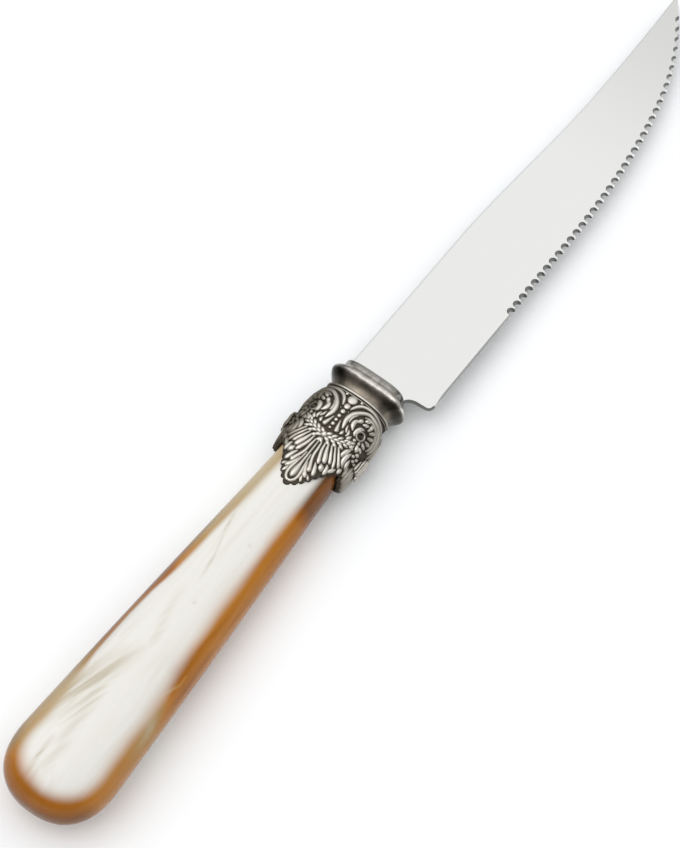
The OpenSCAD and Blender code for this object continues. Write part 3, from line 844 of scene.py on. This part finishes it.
# Large leaves of the ferrule: on each face a drop-shaped core in a fine rim, six pairs of fluted
# lobes that fan out from the garland, and rounded lobe tips between them along the lip.
leaf_core = [(12.9, 0, 0.1), (15, 0, 0.14), (17, 0, 0.16), (18.6, 0, 0.22), (19.6, 0, 0.36), (20.6, 0, 0.52),
             (21.5, 0, 0.5), (22.1, 0, 0.3), (22.4, 0, 0.08)]
core_rim = [(16.2, 0.5, 0.08), (17.6, 0.66, 0.13), (19.0, 0.9, 0.17), (20.3, 1.15, 0.22), (21.4, 1.25, 0.22),
            (22.3, 1.08, 0.2), (22.95, 0.62, 0.19), (23.22, 0, 0.19)]
flutes = [
    [(12.95, 0.66, 0.12), (14.6, 0.85, 0.2), (16.0, 0.97, 0.2), (17.2, 1.35, 0.22), (18.3, 1.82, 0.29),
     (19.05, 2.1, 0.34), (19.5, 2.22, 0.14)],
    [(12.6, 1.35, 0.12), (14.2, 1.62, 0.22), (15.4, 2.05, 0.26), (16.4, 2.5, 0.31), (16.95, 2.78, 0.14)],
    [(12.35, 1.95, 0.12), (13.9, 2.5, 0.28), (15.0, 3.05, 0.37), (15.8, 3.4, 0.35), (16.25, 3.55, 0.14)],
    [(12.15, 2.6, 0.1), (13.6, 3.42, 0.19), (14.6, 4.02, 0.23), (15.3, 4.4, 0.22), (15.65, 4.55, 0.08)],
    [(11.85, 3.2, 0.1), (13.3, 4.15, 0.16), (14.3, 4.85, 0.18), (15.2, 5.3, 0.2), (15.9, 5.6, 0.08)],
    [(11.65, 3.85, 0.1), (13.0, 4.9, 0.18), (13.9, 5.62, 0.22), (14.6, 6.15, 0.2), (15.1, 6.5, 0.08)],
]
lobe_tips = [
    [(17.8, 0.97, 0.06), (18.8, 1.2, 0.17), (19.7, 1.62, 0.27), (20.4, 2.1, 0.37), (20.9, 2.5, 0.16)],
    [(17.0, 2.2, 0.06), (17.6, 2.6, 0.22), (18.5, 3.05, 0.31), (19.3, 3.3, 0.27), (19.75, 3.4, 0.08)],
    [(16.5, 3.25, 0.08), (17.0, 3.6, 0.4), (17.5, 3.85, 0.36), (17.95, 4.15, 0.1)],
    [(15.9, 4.35, 0.08), (16.6, 4.7, 0.26), (17.4, 4.85, 0.28), (18.1, 4.85, 0.08)],
    [(15.5, 6.15, 0.08), (16.0, 5.85, 0.24), (16.6, 5.5, 0.22), (17.1, 5.3, 0.06)],
    [(14.5, 7.2, 0.08), (14.95, 7.0, 0.3), (15.5, 6.95, 0.22), (15.9, 7.0, 0.06)],
    [(20.7, 1.75, 0.06), (21.4, 1.95, 0.22), (21.9, 2.15, 0.16), (22.2, 2.3, 0.06)],
    [(20.1, 2.7, 0.06), (20.6, 3.05, 0.18), (21.0, 3.35, 0.06)],
]
bands_piece("ferrule_large_leaves", [leaf_core, core_rim] + flutes + lobe_tips)

# Side leaves of the ferrule: a fluted leaf on each side line, which the two faces share, under
# the smooth folds of a ribbon that comes from the garland's tassel.
ribbon_folds = [
    [(10.3, 6.0, 0.08), (11.2, 5.55, 0.34), (12.2, 5.25, 0.26), (12.8, 5.5, 0.08)],
    [(10.9, 6.55, 0.08), (11.9, 6.2, 0.34), (13.0, 6.2, 0.34), (13.9, 6.6, 0.2), (14.3, 7.0, 0.06)],
    [(12.0, 7.2, 0.08), (12.9, 7.2, 0.28), (13.7, 7.5, 0.26), (14.3, 7.9, 0.08)],
]
side_flutes = [
    [(13.2, side_q, 0.06), (14.6, side_q, 0.2), (16.3, side_q, 0.2), (17.4, side_q, 0.06)],
    [(12.6, 10.65, 0.06), (13.8, 10.55, 0.22), (15.4, 10.65, 0.2), (17.2, 10.95, 0.07)],
    [(12.4, 9.85, 0.06), (13.3, 9.75, 0.22), (15.0, 9.85, 0.2), (16.7, 10.15, 0.07)],
    [(12.2, 9.05, 0.06), (13.3, 8.95, 0.21), (14.8, 9.0, 0.2), (16.2, 9.25, 0.07)],
    [(13.2, 8.15, 0.06), (14.4, 8.2, 0.2), (15.4, 8.35, 0.07)],
    [(14.6, 9.45, 0.04), (15.6, 9.5, 0.1), (16.3, 9.7, 0.04)],
    [(14.8, 10.3, 0.04), (15.9, 10.4, 0.1), (16.8, 10.6, 0.04)],
]
bands_piece("ferrule_side_leaves", ribbon_folds + side_flutes)

# Side bosses of the ferrule: the thick fringe of strands that hangs where the two garlands meet
# on each side line.
side_boss = [
    [(8.3, side_q, 0.08), (9.2, side_q, 0.3), (10.4, side_q, 0.34), (11.9, side_q, 0.3), (12.9, side_q, 0.36),
     (13.4, side_q, 0.1)],
    [(8.8, 10.55, 0.06), (9.7, 10.45, 0.24), (11.0, 10.42, 0.22), (12.3, 10.5, 0.28), (12.9, 10.6, 0.1)],
    [(9.3, 9.75, 0.06), (10.2, 9.65, 0.22), (11.3, 9.62, 0.2), (12.4, 9.7, 0.27), (12.9, 9.8, 0.08)],
    [(10.4, 8.95, 0.06), (11.2, 8.9, 0.18), (12.1, 8.9, 0.22), (12.7, 8.95, 0.06)],
]
bands_piece("ferrule_side_bosses", side_boss, sides=16, raise_by=0.6, padded=False)

# Grip: one solid moulding of marbled pearl and amber resin, polished to a gloss, with a blind
# bore for the tang. Pearl shows on both broad faces, and amber along the sides and at the butt.
butt_round_l, butt_square = 12.6, 2.4
butt_turn = math.radians(86)
bore_r, bore_end = 3.7, -64.0
grip_n, neck_n, taper_n, butt_n = 288, 10, 210, 50
grip_turns = round_turns(grip_n)
rings = []
neck_x = np.linspace(grip_front, lip_x, neck_n)
taper_x = np.linspace(lip_x, butt_start, taper_n)
for x in np.concatenate([neck_x[:-1], taper_x]):
    rings.append(section(x, *grip_size(x), grip_square, grip_turns))
for a in np.linspace(0, butt_turn, butt_n)[1:]:
    k = float(power(math.cos(a), butt_square))
    x = butt_start - butt_round_l * float(power(math.sin(a) / math.sin(butt_turn), butt_square))
    rings.append(section(x, butt_w * k, butt_t * k, grip_square, grip_turns))
front = [section(x, 2 * bore_r, 2 * bore_r, 2, grip_turns) for x in (bore_end, grip_front)]
handle = loft("grip_moulding", front + rings)

# The pearl lies on the high middle of each broad face. This is the height at which it ends, as a
# share of the grip's half thickness there: (x, share on the edge side, share on the spine side)
pearl_ends = [(-111.8, 0.8, 0.8), (-109, 0.74, 0.8), (-105, 0.69, 0.79), (-101, 0.68, 0.8),
              (-96.5, 0.7, 0.82), (-91, 0.7, 0.81), (-85.5, 0.68, 0.76), (-80, 0.71, 0.68),
              (-75, 0.76, 0.66), (-69.5, 0.8, 0.65), (-63.5, 0.82, 0.7), (-60, 0.83, 0.77),
              (-57, 0.83, 0.8), (-52, 0.82, 0.82), (-46.5, 0.82, 0.83), (-41.5, 0.83, 0.86),
              (-35.5, 0.82, 0.9), (-8, 0.82, 0.92)]
# The resin beyond the pearl, from 0 dark brown through amber to 1 pale tan, and how softly the
# pearl passes into it: (x, tone and softness on the edge side, tone and softness on the spine side)
resin_tones = [(-111.8, 0.26, 0.14, 0.26, 0.14), (-107, 0.3, 0.14, 0.34, 0.14), (-103, 0.4, 0.14, 0.72, 0.1),
               (-92, 0.48, 0.15, 0.86, 0.08), (-86, 0.6, 0.15, 0.88, 0.1), (-82, 0.4, 0.15, 0.66, 0.06),
               (-75, 0.3, 0.14, 0.42, 0.05), (-66, 0.36, 0.12, 0.4, 0.06), (-58, 0.38, 0.12, 0.3, 0.05),
               (-52, 0.38, 0.12, 0.56, 0.06), (-46, 0.39, 0.1, 0.84, 0.06), (-39, 0.37, 0.1, 0.92, 0.06),
               (-35, 0.34, 0.1, 0.94, 0.07), (-31, 0.1, 0.1, 0.96, 0.07), (-8, 0.05, 0.05, 0.6, 0.06)]
at = np.vstack(front + rings)
x = at[:, 0]
# Height over the middle of the side, as a share of the grip's half thickness
rise = np.abs(at[:, 2]) / (grip_size(x)[1] / 2)
side_blend_w = 3
spine_share = np.clip(at[:, 1] / side_blend_w + 0.5, 0, 1)
ends, tones = np.array(pearl_ends), np.array(resin_tones)


def by_side(table, edge_column, spine_column):
    """Value at each point, from the edge side's column to the spine side's."""
    edge_value = np.interp(x, table[:, 0], table[:, edge_column])
    spine_value = np.interp(x, table[:, 0], table[:, spine_column])
    return edge_value + (spine_value - edge_value) * spine_share


def drawn_in(lines, places, steps=16, end_fade=0.25):
    """How strongly each place shows the soft lines drawn past it: points, half width, strength."""
    shown = np.zeros(len(places))
    for line, half_width, strength in lines:
        path = np.array(smooth_line(line, steps))[:, None, :]
        gap = np.linalg.norm(places[None] - path, axis=2)
        fade = np.sin(np.linspace(end_fade, math.pi - end_fade, len(path)))[:, None]
        shown = np.maximum(shown, strength * (fade * np.exp(-(gap / half_width) ** 2)).max(axis=0))
    return shown


# The streaks fade out round the butt
streak_loss, streak_end, streak_fade_l = 0.85, -100, 7
store(handle, "streaky", 1 - streak_loss * ease((streak_end - x) / streak_fade_l))
store(handle, "beyond_pearl", (by_side(ends, 1, 2) - rise) / by_side(tones, 2, 4))
# A pale streak in the amber of the edge side, and a thin pale line along it that is a painted highlight:
# points (x, y, height above the middle), half width, gain
pale_streak_and_highlight = [
    ([(-92.5, -10.2, 3.1), (-88.5, -10.0, 3.3), (-84.5, -9.5, 3.8), (-80.0, -8.8, 4.5)], 1.25, 0.32),
    ([(-83.5, -7.4, 5.7), (-80.6, -7.6, 5.2), (-77.7, -8.3, 4.6), (-75.8, -8.8, 4.0), (-73.5, -8.7, 3.9)],
     0.25, 0.4),
]
upper_at = np.column_stack([at[:, :2], np.abs(at[:, 2])])
# The resin tone also carries the painted highlight line
store(handle, "resin_tone", by_side(tones, 1, 3) + drawn_in(pale_streak_and_highlight, upper_at))
# Painted shade down the middle of the spine side, where the resin looks deeper: (x, loss of brightness)
spine_shade_by_x = [(-111.8, 0.1), (-107, 0.2), (-103, 0.5), (-98, 0.3), (-89, 0.25), (-84, 0.4), (-77, 0.66),
              (-66, 0.55), (-61, 0.58), (-55, 0.62), (-50, 0.55), (-44, 0.4), (-38, 0.12), (-33, 0.0)]
spine_shade_loss = np.interp(x, *np.transpose(spine_shade_by_x))
spine_reach, spine_soft = 0.8, 0.36
spine_line = spine_shade_loss * ease((spine_reach - rise) / spine_soft) * spine_share
# Painted shade also darkens the resin round the middle of the butt
butt_shade_loss, butt_shade_from, butt_shade_l = 0.45, -103, 5
butt_reach, butt_soft = 0.5, 0.45
butt_line = butt_shade_loss * ease((butt_reach - rise) / butt_soft) * ease((butt_shade_from - x) / butt_shade_l)
store(handle, "painted_side_shade", 1 - np.maximum(spine_line, butt_line))

# Tan clouds, wisps and fine lines in the pearl of each face: points (x, y), half width, strength
wisps = [
    ([(-98.0, 8.2), (-92.0, 6.4), (-86.4, 4.8), (-81.0, 2.9), (-75.5, 1.0)], 2.1, 0.55),
    ([(-100.0, 9.2), (-93.0, 8.2), (-88.0, 7.2), (-82.0, 5.9), (-76.0, 3.9)], 0.8, 0.6),
    ([(-94.0, 6.6), (-88.1, 4.6), (-84.8, 3.5), (-79.0, 1.7)], 0.75, 0.8),
    ([(-95.5, 4.4), (-90.9, 3.2), (-87.6, 2.4), (-84.6, 1.2)], 0.55, 0.85),
    ([(-97.0, 3.8), (-92.6, 2.4), (-89.1, 1.4), (-86.0, 0.6)], 0.45, 0.5),
    ([(-101.5, 1.6), (-96.5, 1.4), (-92.6, 1.2), (-87.0, 0.6)], 1.0, 0.34),
    ([(-109.0, 3.2), (-106.1, 3.1), (-103.4, 3.2), (-99.5, 3.2)], 0.5, 0.6),
    ([(-107.0, 1.0), (-102.0, 0.6), (-97.0, 0.4)], 1.2, 0.22),
    ([(-74.0, -0.4), (-69.5, 0.6), (-65.0, 1.7), (-59.5, 2.4)], 0.9, 0.28),
    ([(-57.0, 0.7), (-53.4, 1.2), (-49.2, 2.0), (-45.0, 3.3), (-38.5, 4.7)], 0.3, 0.55),
    ([(-45.1, -2.6), (-44.7, -2.5)], 0.3, 0.7),
    ([(-61.4, -1.4), (-60.8, -1.4)], 0.3, 0.4),
]
store(handle, "wisp", drawn_in(wisps, at[:, :2]) * (x < lip_x))


def mixed(tree, share, plain, full):
    """The colour that goes from plain to full by this share."""
    mix = add_node(tree, "ShaderNodeMix", data_type="RGBA")
    set_inputs(tree, mix, {0: share, 6: plain, 7: full})
    return mix.outputs[2]


pearl_resin, resin = material_with("pearl_resin", Roughness=0.18, Specular_IOR_Level=0.28)
streaky = stored_value(resin, "streaky")
# Slow swirls along the grip carry the border of the pearl
swirl = noise_on(resin, {"Scale": (22, 90, 90)}, Scale=1.0, Detail=2.0, Distortion=0.6)
wander = mapped(resin, swirl, (0.3, 0.7), (-0.35, 0.35))
border = maths(resin, "MULTIPLY_ADD", wander, streaky, stored_value(resin, "beyond_pearl"))
amber_share = mapped(resin, border, (-1.0, 1.2), (0, 1), soft=True)
# Fine streaks run through the pearl and the amber
streak = noise_on(resin, {"Scale": (35, 420, 300), "Rotation": (0, 0, math.radians(-7))},
                  Scale=1.0, Detail=3.0, Distortion=1.2)
tone_drift = mapped(resin, streak, (0.25, 0.75), (-0.09, 0.09))
toning = maths(resin, "MULTIPLY_ADD", tone_drift, streaky, stored_value(resin, "resin_tone"))
amber = stops(resin, toning, [(0, (0.1, 0.05, 0.025)), (0.25, (0.36, 0.115, 0.006)),
                              (0.4, (0.51, 0.195, 0.022)), (0.7, (0.48, 0.285, 0.1)),
                              (1, (0.52, 0.43, 0.28))])
pearl = stops(resin, streak, [(0.25, (0.77, 0.75, 0.69)), (0.42, (0.805, 0.79, 0.735)),
                              (0.56, (0.825, 0.81, 0.765)), (0.8, (0.79, 0.775, 0.72))])
strands = noise_on(resin, {"vector_type": "TEXTURE", "Rotation": (0, 0, math.radians(-18)),
                           "Scale": (0.02, 0.0013, 0.03)}, Scale=1.0, Detail=3.0)
strand = mapped(resin, strands, (0.38, 0.62), (0.4, 1.25))
wisp_share = maths(resin, "MULTIPLY", stored_value(resin, "wisp"), strand)
wispy = mixed(resin, wisp_share, pearl, (0.44, 0.36, 0.23, 1))
body = mixed(resin, amber_share, wispy, amber)
# The resin's colour is dimmed by the painted side shade
finish_with(resin, Base_Color=dimmed(resin, body, stored_value(resin, "painted_side_shade")))
handle.data.materials.append(pearl_resin)
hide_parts("handle")
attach(handle, "root")

# Bedding: the cured resin that fills the bore round the tang and holds the knife together.
# It is the solid part itself, with a cloudy yellow finish.
cured_resin, cured = material_with("cured_resin", Base_Color=(0.6, 0.52, 0.3, 1), Roughness=0.5)
cloud = noise_on(cured, Scale=300.0, Detail=3.0)
finish_with(cured, Base_Color=stops(cured, cloud, [(0, (0.5, 0.42, 0.22)), (1, (0.68, 0.6, 0.38))]))
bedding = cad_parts["bedding"]
bedding.data.materials.clear()
bedding.data.materials.append(cured_resin)

# Floor: a pale table top. The knife lies on the underside of the butt and on the bolster's rim.
# It is near white to the camera and to reflections, and keeps the knife's soft shadow.
butt_under = Vector(((face_x + butt_start) * MM, axis_y * MM, 0))
rim_under = Vector(((face_x - rim_x) * MM, axis_y * MM, (axis_z - rim_t / 2) * MM))
table_size = 3.0
along = (rim_under - butt_under).normalized()
across = Vector((0, 1, 0))
middle = (butt_under + rim_under) / 2
table_mesh = bpy.data.meshes.new("table_top")
table_mesh.from_pydata([middle + along * table_size * a + across * table_size * b
                        for a, b in ((-1, -1), (1, -1), (1, 1), (-1, 1))], [], [(0, 1, 2, 3)])
table_top = scene_object("table_top", table_mesh)
table_paint, paint = material_with("table_paint", Base_Color=(0.914, 0.93, 0.942, 1), Roughness=0.9,
                                   Specular_IOR_Level=0.0, Emission_Color=(1, 1, 1, 1))
table_glow = 0.075
rays = add_node(paint, "ShaderNodeLightPath")
seen = maths(paint, "ADD", rays.outputs["Is Camera Ray"], rays.outputs["Is Glossy Ray"])
finish_with(paint, Emission_Strength=maths(paint, "MULTIPLY", seen, table_glow))
table_mesh.materials.append(table_paint)

# Studio: a pale room that is bright overhead and dim all round, with a wide soft lamp above on
# the left. The camera looks down on the knife with the tip at the upper right.
camera_turn = math.radians(53.506)
camera_rise = math.radians(64.637)
camera_far = 1000.0
camera_lens = 214.5
look_at = np.array([-11.14, 0.57, 0.0])
view = Vector((math.cos(camera_rise) * math.sin(camera_turn),
               math.cos(camera_rise) * math.cos(camera_turn), -math.sin(camera_rise)))
camera_data = bpy.data.cameras.new("camera")
camera_data.sensor_width = 36.0
camera_data.lens = camera_lens
camera_data.clip_start = 0.05
camera = scene_object("camera", camera_data)
target = Vector((look_at + knife_origin) * MM)
camera.location = target - view * camera_far * MM
camera.rotation_mode = "QUATERNION"
camera.rotation_quaternion = view.to_track_quat("-Z", "Y")
bpy.context.scene.camera = camera

to_right = Vector((math.cos(camera_turn), -math.sin(camera_turn), 0))
to_back = Vector((math.sin(camera_turn), math.cos(camera_turn), 0))
to_top = Vector((0, 0, 1))


def softbox(name, right, back, up, distance, size, radiance):
    """A round area lamp that faces the knife from this direction as the camera sees it."""
    lamp = bpy.data.lights.new(name, "AREA")
    lamp.shape = "DISK"
    lamp.size = size
    lamp.energy = radiance * (math.pi * size / 2) ** 2
    holder = scene_object(name, lamp)
    direction = (to_right * right + to_back * back + to_top * up).normalized()
    holder.location = target + direction * distance
    holder.rotation_mode = "QUATERNION"
    holder.rotation_quaternion = (-direction).to_track_quat("-Z", "Y")


softbox("key", right=-0.5, back=-0.08, up=0.86, distance=1.4, size=1.6, radiance=0.85)

# The room is bright overhead and dims softly towards the horizon
room = bpy.data.worlds.new("room")
room.use_nodes = True
sky = room.node_tree
brightest = (to_right * 0.06 + to_back * 0.2 + to_top * 0.97).normalized()
place = add_node(sky, "ShaderNodeTexCoord")
toward = add_node(sky, "ShaderNodeVectorMath", place.outputs["Generated"], brightest, operation="DOT_PRODUCT")
level = mapped(sky, toward.outputs["Value"], (0.2, 0.9), (0.1, 1.25), soft=True)
# Metal also shows a pale wall low down in the room
wall_level = 0.45
rays = add_node(sky, "ShaderNodeLightPath")
wall = maths(sky, "MULTIPLY", rays.outputs["Is Glossy Ray"], wall_level)
choose = add_node(sky, "ShaderNodeMix", rays.outputs["Is Camera Ray"], data_type="FLOAT")
set_inputs(sky, choose, {2: maths(sky, "MAXIMUM", level, wall), 3: 1.0})
set_inputs(sky, sky.nodes["Background"], {"Color": (1, 1, 1, 1), "Strength": choose.outputs[0]})
bpy.context.scene.world = room
bpy.context.scene.view_settings.view_transform = "Standard"
